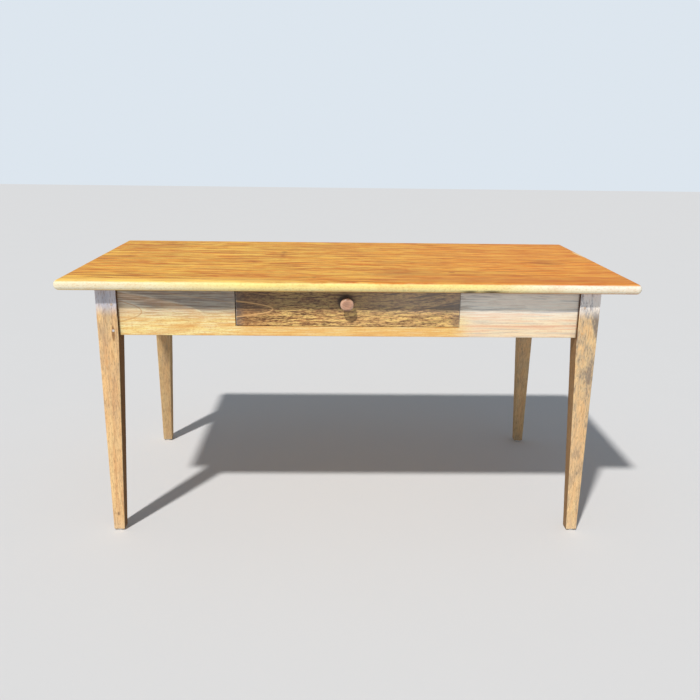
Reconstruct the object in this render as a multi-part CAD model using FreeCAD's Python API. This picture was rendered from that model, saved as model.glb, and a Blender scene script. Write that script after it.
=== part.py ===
import FreeCAD, Part
import os
from FreeCAD import Vector

# Farmhouse table in millimetres. The origin is on the floor under the middle
# of the top, X runs along the table, and the drawer side faces -Y.

# Overall sizes
table_length = 1600
table_width = 780
table_height = 765

# Top: boards glued edge to edge, with a rounded edge all round
top_thickness = 28
top_edge_radius = 13
top_corner_radius = 16
top_board_count = 4
tongue_thickness = 8
tongue_depth = 12
tongue_end_margin = 60
tongue_play = 0.2

# Legs: square above the taper, drawn in on their two inner faces below it
end_overhang = 102
side_overhang = 33
leg_size = 58
leg_foot_size = 33
leg_edge_radius = 3
taper_drop = 8

# Aprons
apron_height = 133
apron_thickness = 25
apron_setback = 10
apron_edge_radius = 1.5
tenon_cheek = 8
tenon_thickness = 9
tenon_corner_gap = 3
tenon_low_shoulder = 5
tenon_top_shoulder = 26
tenon_play = 0.2
mortise_extra_depth = 2

# Pegs that lock the tenons
peg_diameter = 7
peg_play = 0.3
peg_length = 38
peg_proud = 0.4
peg_low_rise = 15
peg_high_drop = 44
peg_stagger = 9

# Drawer opening in the front apron, measured along X from the table's middle
opening_middle = -5
opening_width = 626
rail_height = 28

# Drawer
drawer_gap_left = 3
drawer_gap_right = 1
drawer_gap_top = 2
drawer_gap_bottom = 1.5
drawer_back_space = 149
drawer_front_thickness = 22
drawer_side_thickness = 12
drawer_side_height = 88
drawer_back_thickness = 12
drawer_back_drop = 8
drawer_edge_radius = 1
slide_play = 0.3
guide_play = 0.8

# Dovetails of the drawer
tail_count = 3
tail_length = 15
tail_root_width = 13
tail_tip_width = 19
tail_play = 0.15

# Drawer bottom and its nails
panel_thickness = 7
panel_rise = 7
panel_groove_depth = 5
panel_play = 0.25
bottom_nail_count = 5
bottom_nail_end_margin = 50
bottom_nail_diameter = 1.8
bottom_nail_head_diameter = 4
bottom_nail_head_thickness = 1
bottom_nail_length = 26
nail_play = 0.3

# Knob, as radii and reaches from the drawer front
knob_diameter = 37
knob_neck_diameter = 17
knob_base_diameter = 22
knob_reach = 27
knob_rim_thickness = 10
knob_rim_radius = 4
knob_dish_depth = 1.2
knob_dish_diameter = 20
knob_shoulder_share = 0.72
knob_base_thickness = 2.5
knob_spigot_diameter = 12
knob_spigot_length = 22
knob_rise = 69
knob_shift = -4
spigot_play = 0.25

# Runners under the drawer, guides beside it and kickers over it
runner_width = 38
runner_height = 22
runner_inset = 15
housing_depth = 8
housing_play = 0.2
guide_height = 22
kicker_play = 1.5
kicker_width = 38
kicker_end_gap = 1
stop_length = 34
stop_height = 26
stop_gap = 0.3

# Nails in the guides and screws in the kickers
guide_nail_count = 4
guide_nail_diameter = 2.4
guide_nail_length = 36
guide_nail_end_margin = 70
screw_shank_diameter = 4
screw_head_diameter = 8
screw_head_thickness = 2.6
screw_head_sink = 0.6
kicker_screw_length = 30
screw_play = 0.3

# Wooden buttons that hold the top to the aprons
button_width = 38
button_depth = 36
button_thickness = 22
button_tongue_thickness = 9
button_tongue_length = 10
button_slot_play = 0.3
button_slot_extra = 3
button_screw_length = 40

# Feet
glide_diameter = 25
glide_thickness = 5
glide_edge_radius = 1.5
glide_recess_diameter = 9
glide_recess_depth = 2.5
glide_nail_diameter = 2.4
glide_nail_head_diameter = 7
glide_nail_head_thickness = 1.2
glide_nail_length = 24

# One overrun for every cut
overrun = 5

# Places that follow from the sizes above
half_length = table_length / 2
half_width = table_width / 2
under_top = table_height - top_thickness
leg_outer_x = half_length - end_overhang
leg_outer_y = half_width - side_overhang
leg_inner_x = leg_outer_x - leg_size
leg_inner_y = leg_outer_y - leg_size
leg_foot_x = leg_outer_x - leg_foot_size / 2
leg_foot_y = leg_outer_y - leg_foot_size / 2
apron_bottom = under_top - apron_height
taper_start = apron_bottom - taper_drop
apron_face_x = leg_outer_x - apron_setback
apron_face_y = leg_outer_y - apron_setback
apron_back_x = apron_face_x - apron_thickness
apron_back_y = apron_face_y - apron_thickness
tenon_length = leg_size - apron_setback - tenon_cheek - tenon_thickness - tenon_corner_gap
tenon_bottom = apron_bottom + tenon_low_shoulder
tenon_top = under_top - tenon_top_shoulder
opening_left = opening_middle - opening_width / 2
opening_right = opening_middle + opening_width / 2
rail_top = apron_bottom + rail_height
drawer_left = opening_left + drawer_gap_left
drawer_right = opening_right - drawer_gap_right
drawer_front_y = -apron_face_y
drawer_front_back_y = drawer_front_y + drawer_front_thickness
drawer_rear_y = apron_back_y - drawer_back_space
drawer_back_face_y = drawer_rear_y - drawer_back_thickness
side_bottom = rail_top + slide_play
side_top = side_bottom + drawer_side_height
panel_bottom = side_bottom + panel_rise
panel_top = panel_bottom + panel_thickness
back_bottom = panel_top + panel_play
back_top = side_top - drawer_back_drop
kicker_bottom = side_top + kicker_play
knob_x = (drawer_left + drawer_right) / 2 + knob_shift
knob_z = rail_top + knob_rise - drawer_gap_bottom

parts_made = []


def box(x_low, x_high, y_low, y_high, z_low, z_high):
    size_x = x_high - x_low
    size_y = y_high - y_low
    size_z = z_high - z_low
    return Part.makeBox(size_x, size_y, size_z, Vector(x_low, y_low, z_low))


def rod(diameter, length, start, direction):
    return Part.makeCylinder(diameter / 2, length, start, direction)


def flip(shape, sign_x, sign_y):
    # Turns a piece of the +X +Y corner into the one of another corner
    result = shape
    if sign_x < 0:
        result = result.mirror(Vector(0, 0, 0), Vector(1, 0, 0))
    if sign_y < 0:
        result = result.mirror(Vector(0, 0, 0), Vector(0, 1, 0))
    return result


def spread(first, last, count):
    step = (last - first) / (count - 1)
    return [first + step * index for index in range(count)]


def save(name, solids):
    shape = solids[0] if len(solids) == 1 else Part.makeCompound(solids)
    shape.exportStep(os.path.join("parts", name + ".step"))
    parts_made.append(name)


# Table top

def top_blank():
    blank = box(-half_length, half_length, -half_width, half_width, under_top, table_height)
    corners = [edge for edge in blank.Edges if abs(edge.tangentAt(edge.FirstParameter).z) > 0.5]
    blank = blank.makeFillet(top_corner_radius, corners)
    rims = []
    for edge in blank.Edges:
        if edge.BoundBox.ZLength < top_edge_radius / 2:
            rims.append(edge)
    return blank.makeFillet(top_edge_radius, rims)


def board_seams():
    return spread(-half_width, half_width, top_board_count + 1)


def board_middles():
    seams = board_seams()
    return [(seams[index] + seams[index + 1]) / 2 for index in range(top_board_count)]


def tongue_box(seam_y, play):
    reach_x = half_length - tongue_end_margin + play
    reach_y = tongue_depth + play
    middle_z = under_top + top_thickness / 2
    reach_z = tongue_thickness / 2 + play
    low_z = middle_z - reach_z
    return box(-reach_x, reach_x, seam_y - reach_y, seam_y + reach_y, low_z, middle_z + reach_z)


def make_top():
    blank = top_blank()
    holes = button_screw_holes() + kicker_screw_holes()
    seams = board_seams()
    for hole in holes:
        blank = blank.cut(hole)
    for seam_y in seams[1:-1]:
        blank = blank.cut(tongue_box(seam_y, tongue_play))
    for index in range(top_board_count):
        strip = box(-half_length, half_length, seams[index], seams[index + 1], under_top, table_height)
        board = blank.common(strip)
        save("top_board_%d" % (index + 1), board.Solids)
    save("top_tongues", [tongue_box(seam_y, 0) for seam_y in seams[1:-1]])


# Legs, modelled at the +X +Y corner and mirrored to the others

def rounded_square(low_x, low_y, z):
    # Outline of the leg at one height, from its inner corner to its fixed outer corner
    radius = leg_edge_radius
    bend = radius * (1 - 0.5 ** 0.5)
    high_x = leg_outer_x
    high_y = leg_outer_y
    corners = [
        (low_x, low_y, 1, 1),
        (high_x, low_y, -1, 1),
        (high_x, high_y, -1, -1),
        (low_x, high_y, 1, -1),
    ]
    starts = []
    middles = []
    ends = []
    for index, (x, y, way_x, way_y) in enumerate(corners):
        on_x_edge = Vector(x + way_x * radius, y, z)
        on_y_edge = Vector(x, y + way_y * radius, z)
        turns_from_y = index % 2 == 0
        starts.append(on_y_edge if turns_from_y else on_x_edge)
        ends.append(on_x_edge if turns_from_y else on_y_edge)
        middles.append(Vector(x + way_x * bend, y + way_y * bend, z))
    edges = []
    for index in range(len(corners)):
        edges.append(Part.Arc(starts[index], middles[index], ends[index]).toShape())
        edges.append(Part.makeLine(ends[index], starts[(index + 1) % len(corners)]))
    return Part.Wire(edges)


def tenon_at_x_apron(play, extra):
    # Tenon of a front or rear apron, which runs along X into the leg
    outer = apron_face_y - tenon_cheek + play
    inner = apron_face_y - tenon_cheek - tenon_thickness - play
    end = leg_inner_x + tenon_length + extra
    return box(leg_inner_x - play, end, inner, outer, tenon_bottom - play, tenon_top + play)


def tenon_at_y_apron(play, extra):
    # Tenon of an end apron, which runs along Y into the leg
    outer = apron_face_x - tenon_cheek + play
    inner = apron_face_x - tenon_cheek - tenon_thickness - play
    end = leg_inner_y + tenon_length + extra
    return box(inner, outer, leg_inner_y - play, end, tenon_bottom - play, tenon_top + play)


def peg_heights(lift):
    return [apron_bottom + peg_low_rise + lift, under_top - peg_high_drop + lift]


def corner_pegs(play, start_extra):
    # Two pegs through the long apron's tenon and two through the end apron's
    diameter = peg_diameter + play + play
    length = peg_length + play + start_extra
    pegs = []
    for height in peg_heights(0):
        start = Vector(leg_inner_x + tenon_length / 2, leg_outer_y + start_extra, height)
        pegs.append(rod(diameter, length, start, Vector(0, -1, 0)))
    for height in peg_heights(peg_stagger):
        start = Vector(leg_outer_x + start_extra, leg_inner_y + tenon_length / 2, height)
        pegs.append(rod(diameter, length, start, Vector(-1, 0, 0)))
    return pegs


def glide_nail_hole():
    diameter = glide_nail_diameter + nail_play + nail_play
    return rod(diameter, glide_nail_length + nail_play, Vector(leg_foot_x, leg_foot_y, 0), Vector(0, 0, 1))


def make_leg_blank():
    foot_low_x = leg_outer_x - leg_foot_size
    foot_low_y = leg_outer_y - leg_foot_size
    outlines = [
        rounded_square(foot_low_x, foot_low_y, glide_thickness),
        rounded_square(leg_inner_x, leg_inner_y, taper_start),
        rounded_square(leg_inner_x, leg_inner_y, under_top),
    ]
    return Part.makeLoft(outlines, True, True)


def make_legs():
    leg = make_leg_blank()
    cutters = [tenon_at_x_apron(tenon_play, mortise_extra_depth)]
    cutters.append(tenon_at_y_apron(tenon_play, mortise_extra_depth))
    cutters += corner_pegs(peg_play, overrun)
    cutters.append(glide_nail_hole())
    for cutter in cutters:
        leg = leg.cut(cutter)
    for name, sign_x, sign_y in corner_list():
        save(name + "_leg", flip(leg, sign_x, sign_y).Solids)


def corner_list():
    return [
        ("front_left", -1, -1),
        ("front_right", 1, -1),
        ("rear_left", -1, 1),
        ("rear_right", 1, 1),
    ]


def make_pegs():
    pegs = []
    for name, sign_x, sign_y in corner_list():
        for peg in corner_pegs(0, peg_proud):
            pegs.append(flip(peg, sign_x, sign_y))
    save("tenon_pegs", pegs)


# Aprons

def ease_bottom_edges(board):
    # Rounds the two long arrises under an apron
    edges = []
    for edge in board.Edges:
        size = edge.BoundBox
        is_low = size.ZMax < apron_bottom + apron_edge_radius
        if is_low and size.DiagonalLength > apron_thickness + apron_edge_radius:
            edges.append(edge)
    return board.makeFillet(apron_edge_radius, edges)


def long_apron(sign_y):
    board = box(-leg_inner_x, leg_inner_x, apron_back_y, apron_face_y, apron_bottom, under_top)
    board = ease_bottom_edges(board)
    board = board.fuse(tenon_at_x_apron(0, 0))
    board = board.fuse(flip(tenon_at_x_apron(0, 0), -1, 1))
    board = board.removeSplitter()
    return flip(board, 1, sign_y)


def end_apron(sign_x):
    board = box(apron_back_x, apron_face_x, -leg_inner_y, leg_inner_y, apron_bottom, under_top)
    board = ease_bottom_edges(board)
    board = board.fuse(tenon_at_y_apron(0, 0))
    board = board.fuse(flip(tenon_at_y_apron(0, 0), 1, -1))
    board = board.removeSplitter()
    return flip(board, sign_x, 1)


def all_peg_holes():
    holes = []
    for name, sign_x, sign_y in corner_list():
        for peg in corner_pegs(peg_play, overrun):
            holes.append(flip(peg, sign_x, sign_y))
    return holes


def drawer_opening():
    low_y = -apron_face_y - overrun
    high_y = -apron_back_y + overrun
    return box(opening_left, opening_right, low_y, high_y, rail_top, under_top + overrun)


def make_aprons():
    cutters = all_peg_holes() + runner_bodies(housing_play) + button_slots()
    boards = {
        "front_apron": long_apron(-1).cut(drawer_opening()),
        "rear_apron": long_apron(1),
        "left_apron": end_apron(-1),
        "right_apron": end_apron(1),
    }
    for name, board in boards.items():
        for cutter in cutters:
            board = board.cut(cutter)
        save(name, board.Solids)


# Drawer supports

def runner_span(is_left):
    # A runner lies under the drawer side and carries on outwards under the guide
    if is_left:
        high = drawer_left + drawer_side_thickness + slide_play
        return high - runner_width, high
    low = drawer_right - drawer_side_thickness - slide_play
    return low, low + runner_width


def runner_bodies(play):
    bodies = []
    for is_left in (True, False):
        low, high = runner_span(is_left)
        reach = apron_back_y + housing_depth + play
        low_z = rail_top - runner_height - play
        bodies.append(box(low - play, high + play, -reach, reach, low_z, rail_top + play))
    return bodies


def guide_body(is_left):
    low, high = runner_span(is_left)
    if is_left:
        high = drawer_left - guide_play
    else:
        low = drawer_right + guide_play
    return box(low, high, -apron_back_y, apron_back_y, rail_top, rail_top + guide_height)


def stop_body(is_left):
    # A block on the runner, beside the guide and behind the drawer's side
    low, high = runner_span(is_left)
    if is_left:
        low = drawer_left - guide_play
    else:
        high = drawer_right + guide_play
    low_y = drawer_rear_y + stop_gap
    return box(low, high, low_y, low_y + stop_length, rail_top, rail_top + stop_height)


def guide_nails(is_left, play):
    guide = guide_body(is_left).BoundBox
    middle = (guide.XMin + guide.XMax) / 2
    top = rail_top + guide_height + play
    nails = []
    reach = apron_back_y - guide_nail_end_margin
    diameter = guide_nail_diameter + play + play
    for place in spread(-reach, reach, guide_nail_count):
        start = Vector(middle, place, top)
        nails.append(rod(diameter, guide_nail_length + play + play, start, Vector(0, 0, -1)))
    return nails


def kicker_span(is_left):
    if is_left:
        high = drawer_left + drawer_side_thickness + runner_inset
        return high - kicker_width, high
    low = drawer_right - drawer_side_thickness - runner_inset
    return low, low + kicker_width


def kicker_body(is_left):
    low, high = kicker_span(is_left)
    front = -apron_back_y + kicker_end_gap
    return box(low, high, front, apron_back_y - kicker_end_gap, kicker_bottom, under_top)


def screw(head_at, length, direction, play):
    # Shank with a flat head whose outer face lies at head_at
    shank = rod(screw_shank_diameter + play + play, length + play, head_at, direction)
    head = rod(screw_head_diameter + play + play, screw_head_thickness + play, head_at, direction)
    return shank.fuse(head).removeSplitter()


def screw_hole(head_at, length, direction):
    # The hole starts outside the face and lets the head lie below it
    back_off = Vector(direction).multiply(-(screw_head_sink + overrun))
    mouth = rod(
        screw_head_diameter + screw_play + screw_play,
        screw_head_sink + overrun + screw_head_thickness,
        head_at + back_off,
        direction,
    )
    shank = rod(screw_shank_diameter + screw_play + screw_play, length + screw_play, head_at, direction)
    return mouth.fuse(shank)


def kicker_screw_places():
    # One screw into the middle of each top board
    places = []
    for is_left in (True, False):
        low, high = kicker_span(is_left)
        for place in board_middles():
            places.append(Vector((low + high) / 2, place, kicker_bottom + screw_head_sink))
    return places


def kicker_screw_holes():
    up = Vector(0, 0, 1)
    return [screw_hole(place, kicker_screw_length, up) for place in kicker_screw_places()]


def make_drawer_supports():
    sides = (("left", True), ("right", False))
    for index, (name, is_left) in enumerate(sides):
        runner = runner_bodies(0)[index]
        guide = guide_body(is_left)
        kicker = kicker_body(is_left)
        for hole in guide_nails(is_left, nail_play):
            runner = runner.cut(hole)
            guide = guide.cut(hole)
        for hole in kicker_screw_holes():
            kicker = kicker.cut(hole)
        save(name + "_runner", runner.Solids)
        save(name + "_guide", guide.Solids)
        save(name + "_kicker", kicker.Solids)
    save("guide_nails", guide_nails(True, 0) + guide_nails(False, 0))
    up = Vector(0, 0, 1)
    save("kicker_screws", [screw(place, kicker_screw_length, up, 0) for place in kicker_screw_places()])
    save("drawer_stops", [stop_body(True), stop_body(False)])


# Wooden buttons under the top

def button_places():
    # Place on the apron's inner face, and the turn from the front apron's way
    left_kicker_low, left_kicker_high = kicker_span(True)
    right_kicker_low, right_kicker_high = kicker_span(False)
    left_bay = (left_kicker_low - leg_inner_x) / 2
    right_bay = (right_kicker_high + leg_inner_x) / 2
    middle_bay = (left_kicker_high + right_kicker_low) / 2
    places = []
    for place_x in (left_bay, right_bay):
        places.append((Vector(place_x, -apron_back_y, under_top), 0))
    for place_x in (left_bay, middle_bay, right_bay):
        places.append((Vector(place_x, apron_back_y, under_top), 180))
    for place_y in board_middles()[1:-1]:
        places.append((Vector(-apron_back_x, place_y, under_top), -90))
        places.append((Vector(apron_back_x, place_y, under_top), 90))
    return places


def place_button_piece(piece, place, turn):
    moved = piece.copy()
    moved.rotate(Vector(0, 0, 0), Vector(0, 0, 1), turn)
    moved.translate(place)
    return moved


def button_shape():
    body = box(-button_width / 2, button_width / 2, 0, button_depth, -button_thickness, 0)
    tongue_low = -button_thickness
    tongue_high = tongue_low + button_tongue_thickness
    tongue = box(-button_width / 2, button_width / 2, -button_tongue_length, 0, tongue_low, tongue_high)
    button = body.fuse(tongue).removeSplitter()
    return button.cut(screw_hole(button_screw_start(), button_screw_length, Vector(0, 0, 1)))


def button_screw_start():
    return Vector(0, button_depth / 2, screw_head_sink - button_thickness)


def button_slots():
    half = button_width / 2 + button_slot_extra
    low = -button_thickness - button_slot_play
    high = -button_thickness + button_tongue_thickness + button_slot_play
    slot = box(-half, half, -button_tongue_length - button_slot_play, overrun, low, high)
    return [place_button_piece(slot, place, turn) for place, turn in button_places()]


def button_screw_holes():
    hole = screw_hole(button_screw_start(), button_screw_length, Vector(0, 0, 1))
    return [place_button_piece(hole, place, turn) for place, turn in button_places()]


def make_buttons():
    button = button_shape()
    one_screw = screw(button_screw_start(), button_screw_length, Vector(0, 0, 1), 0)
    buttons = []
    screws = []
    for place, turn in button_places():
        buttons += place_button_piece(button, place, turn).Solids
        screws += place_button_piece(one_screw, place, turn).Solids
    save("top_buttons", buttons)
    save("button_screws", screws)


# Drawer

def tail_heights(low, high):
    step = (high - low) / tail_count
    return [low + step * (index + 0.5) for index in range(tail_count)]


def tail(height, root_y, tip_y, low_x, high_x, play):
    # Narrow at the root and wide at the tip
    root = tail_root_width / 2 + play
    tip = tail_tip_width / 2 + play
    corners = [
        Vector(low_x, root_y, height - root),
        Vector(low_x, tip_y, height - tip),
        Vector(low_x, tip_y, height + tip),
        Vector(low_x, root_y, height + root),
    ]
    face = Part.Face(Part.makePolygon(corners + corners[:1]))
    return face.extrude(Vector(high_x - low_x, 0, 0))


def front_tails(low_x, high_x, play):
    tip_y = drawer_front_back_y - tail_length - play
    heights = tail_heights(side_bottom, side_top)
    return [tail(height, drawer_front_back_y, tip_y, low_x, high_x, play) for height in heights]


def back_tails(low_x, high_x, play):
    heights = tail_heights(back_bottom, back_top)
    return [tail(height, drawer_back_face_y, drawer_rear_y, low_x, high_x, play) for height in heights]


def panel_box(play):
    # The bottom panel, let into the sides and the front and open at the back
    low_x = drawer_left + drawer_side_thickness - panel_groove_depth
    high_x = drawer_right - drawer_side_thickness + panel_groove_depth
    low_y = drawer_front_back_y - panel_groove_depth
    high_y = drawer_rear_y + play + play
    return box(low_x - play, high_x + play, low_y - play, high_y, panel_bottom - play, panel_top + play)


def side_inner(is_left):
    if is_left:
        return drawer_left, drawer_left + drawer_side_thickness
    return drawer_right - drawer_side_thickness, drawer_right


def bottom_nails(play):
    reach = (drawer_right - drawer_left) / 2 - bottom_nail_end_margin
    middle = (drawer_left + drawer_right) / 2
    place_y = drawer_rear_y - drawer_back_thickness / 2
    up = Vector(0, 0, 1)
    nails = []
    for place_x in spread(middle - reach, middle + reach, bottom_nail_count):
        start = Vector(place_x, place_y, panel_bottom - bottom_nail_head_thickness)
        shank = rod(bottom_nail_diameter + play + play, bottom_nail_length + play, start, up)
        if play == 0:
            shank = shank.fuse(rod(bottom_nail_head_diameter, bottom_nail_head_thickness, start, up))
        nails.append(shank)
    return nails


def knob_profile():
    # Half outline of the knob from its axis round to its axis again
    base = knob_base_diameter / 2
    neck = knob_neck_diameter / 2
    rim = knob_diameter / 2
    dish = knob_dish_diameter / 2
    spigot = knob_spigot_diameter / 2
    back_of_rim = knob_reach - knob_rim_thickness
    neck_reach = (knob_base_thickness + back_of_rim) / 2
    edges = []

    def place(radius, reach):
        return Vector(radius, -reach, 0)

    def line(first, second):
        edges.append(Part.makeLine(first, second))

    def bow(first, middle, second):
        edges.append(Part.Arc(first, middle, second).toShape())

    line(place(0, -knob_spigot_length), place(spigot, -knob_spigot_length))
    line(place(spigot, -knob_spigot_length), place(spigot, 0))
    line(place(spigot, 0), place(base, 0))
    line(place(base, 0), place(base, knob_base_thickness))
    under_rim = place(rim - knob_rim_radius, back_of_rim)
    bow(place(base, knob_base_thickness), place(neck, neck_reach), under_rim)
    widest = place(rim, back_of_rim + knob_rim_radius)
    bend = knob_rim_radius * (1 - 0.5 ** 0.5)
    bow(under_rim, place(rim - bend, back_of_rim + bend), widest)
    crest = place(dish, knob_reach)
    middle_radius = (rim + dish) / 2
    shoulder = (knob_rim_thickness - knob_rim_radius) * knob_shoulder_share
    bow(widest, place(middle_radius + bend, back_of_rim + knob_rim_radius + shoulder), crest)
    floor_reach = knob_reach - knob_dish_depth
    dish_radius = (dish ** 2 + knob_dish_depth ** 2) / (2 * knob_dish_depth)
    half_way = floor_reach + dish_radius - (dish_radius ** 2 - (dish / 2) ** 2) ** 0.5
    bow(crest, place(dish / 2, half_way), place(0, floor_reach))
    line(place(0, floor_reach), place(0, -knob_spigot_length))
    return Part.Face(Part.Wire(edges))


def make_knob():
    knob = knob_profile().revolve(Vector(0, 0, 0), Vector(0, 1, 0), 360)
    knob.translate(Vector(knob_x, drawer_front_y, knob_z))
    save("drawer_knob", knob.Solids)


def make_drawer_front():
    front = box(
        drawer_left,
        drawer_right,
        drawer_front_y,
        drawer_front_back_y,
        rail_top + drawer_gap_bottom,
        under_top - drawer_gap_top,
    )
    rims = [edge for edge in front.Edges if edge.BoundBox.YMax < drawer_front_y + drawer_edge_radius]
    front = front.makeFillet(drawer_edge_radius, rims)
    for is_left in (True, False):
        low, high = side_inner(is_left)
        low_x = low - overrun if is_left else low - tail_play
        high_x = high + tail_play if is_left else high + overrun
        for socket in front_tails(low_x, high_x, tail_play):
            front = front.cut(socket)
    front = front.cut(panel_box(panel_play))
    spigot_start = Vector(knob_x, drawer_front_y - overrun, knob_z)
    hole_length = drawer_front_thickness + overrun + overrun
    hole = rod(knob_spigot_diameter + spigot_play + spigot_play, hole_length, spigot_start, Vector(0, 1, 0))
    save("drawer_front", front.cut(hole).Solids)


def make_drawer_sides():
    for name, is_left in (("left", True), ("right", False)):
        low, high = side_inner(is_left)
        side = box(low, high, drawer_front_back_y, drawer_rear_y, side_bottom, side_top)
        pocket_low = back_bottom - tail_play
        pocket_high = back_top + tail_play
        pocket = box(
            low - overrun,
            high + overrun,
            drawer_back_face_y,
            drawer_rear_y + overrun,
            pocket_low,
            pocket_high,
        )
        side = side.cut(pocket)
        for piece in front_tails(low, high, 0) + back_tails(low, high, 0):
            side = side.fuse(piece)
        side = side.removeSplitter().cut(panel_box(panel_play))
        save("drawer_%s_side" % name, side.Solids)


def make_drawer_back():
    back = box(drawer_left, drawer_right, drawer_back_face_y, drawer_rear_y, back_bottom, back_top)
    for is_left in (True, False):
        low, high = side_inner(is_left)
        low_x = low - overrun if is_left else low - tail_play
        high_x = high + tail_play if is_left else high + overrun
        for socket in back_tails(low_x, high_x, tail_play):
            back = back.cut(socket)
    for hole in bottom_nails(nail_play):
        back = back.cut(hole)
    save("drawer_back", back.Solids)


def make_drawer_bottom():
    panel = panel_box(0)
    for hole in bottom_nails(nail_play):
        panel = panel.cut(hole)
    save("drawer_bottom", panel.Solids)
    save("bottom_nails", bottom_nails(0))


# Feet

def make_glides():
    up = Vector(0, 0, 1)
    disc = rod(glide_diameter, glide_thickness, Vector(leg_foot_x, leg_foot_y, 0), up)
    rim = [edge for edge in disc.Edges if edge.BoundBox.ZMax < glide_thickness / 2]
    disc = disc.makeFillet(glide_edge_radius, rim)
    recess = rod(glide_recess_diameter, glide_recess_depth, Vector(leg_foot_x, leg_foot_y, 0), up)
    disc = disc.cut(recess).cut(glide_nail_hole())
    head_z = glide_recess_depth - glide_nail_head_thickness
    start = Vector(leg_foot_x, leg_foot_y, head_z)
    head = rod(glide_nail_head_diameter, glide_nail_head_thickness, start, up)
    shank = rod(glide_nail_diameter, glide_nail_length - head_z, start, up)
    nail = head.fuse(shank).removeSplitter()
    nails = []
    for name, sign_x, sign_y in corner_list():
        save(name + "_glide", flip(disc, sign_x, sign_y).Solids)
        nails += flip(nail, sign_x, sign_y).Solids
    save("glide_nails", nails)


os.makedirs("parts", exist_ok=True)
make_top()
make_legs()
make_pegs()
make_aprons()
make_drawer_supports()
make_buttons()
make_drawer_front()
make_drawer_sides()
make_drawer_back()
make_drawer_bottom()
make_knob()
make_glides()
print("parts:", len(parts_made))
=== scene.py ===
import math
import random
import bpy
from mathutils import Matrix, Vector


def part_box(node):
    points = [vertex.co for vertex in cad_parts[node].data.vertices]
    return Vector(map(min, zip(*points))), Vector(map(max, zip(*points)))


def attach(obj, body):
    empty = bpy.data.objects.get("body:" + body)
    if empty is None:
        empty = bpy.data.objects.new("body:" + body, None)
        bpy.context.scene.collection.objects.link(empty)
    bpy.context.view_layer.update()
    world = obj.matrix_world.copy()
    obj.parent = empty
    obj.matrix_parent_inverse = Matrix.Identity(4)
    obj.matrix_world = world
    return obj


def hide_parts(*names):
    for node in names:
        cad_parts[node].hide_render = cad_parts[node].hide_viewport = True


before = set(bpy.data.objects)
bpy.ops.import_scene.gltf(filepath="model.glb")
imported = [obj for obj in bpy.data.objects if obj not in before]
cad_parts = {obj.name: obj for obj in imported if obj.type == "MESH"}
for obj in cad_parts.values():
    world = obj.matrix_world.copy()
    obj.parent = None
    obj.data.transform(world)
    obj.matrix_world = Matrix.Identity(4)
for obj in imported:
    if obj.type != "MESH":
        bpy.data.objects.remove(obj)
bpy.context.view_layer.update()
print("stage: frame loaded")

mm = 0.001
weldGap = 0.01 * mm
smoothAngle = math.radians(35)


# Shader maths: a Flow is one output socket, and sums and products of flows add nodes

class Flow:
    def __init__(self, bench, socket):
        self.bench = bench
        self.socket = socket

    def maths(self, operation, first, second=None):
        values = {0: first} if second is None else {0: first, 1: second}
        return self.bench.node("ShaderNodeMath", {"operation": operation}, values)

    def __add__(self, other):
        return self.maths("ADD", self, other)

    def __radd__(self, other):
        return self.maths("ADD", other, self)

    def __sub__(self, other):
        return self.maths("SUBTRACT", self, other)

    def __rsub__(self, other):
        return self.maths("SUBTRACT", other, self)

    def __mul__(self, other):
        return self.maths("MULTIPLY", self, other)

    def __rmul__(self, other):
        return self.maths("MULTIPLY", other, self)

    def __truediv__(self, other):
        return self.maths("DIVIDE", self, other)

    def __rtruediv__(self, other):
        return self.maths("DIVIDE", other, self)

    def __abs__(self):
        return self.maths("ABSOLUTE", self)

    def floor(self):
        return self.maths("FLOOR", self)

    def fract(self):
        return self.maths("FRACT", self)

    def root(self):
        return self.maths("SQRT", self)

    def high(self, other):
        return self.maths("MAXIMUM", self, other)

    def low(self, other):
        return self.maths("MINIMUM", self, other)

    # 0 before start, 1 past end, smooth between
    def rise(self, start, end):
        settings = {"interpolation_type": "SMOOTHSTEP", "clamp": True}
        values = {"Value": self, "From Min": start, "From Max": end}
        return self.bench.node("ShaderNodeMapRange", settings, values)

    # 1 at zero, falling off like a bell of the given width
    def bell(self, width):
        return self.maths("EXPONENT", (self / width) * (self / width) * -1.0)


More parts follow.
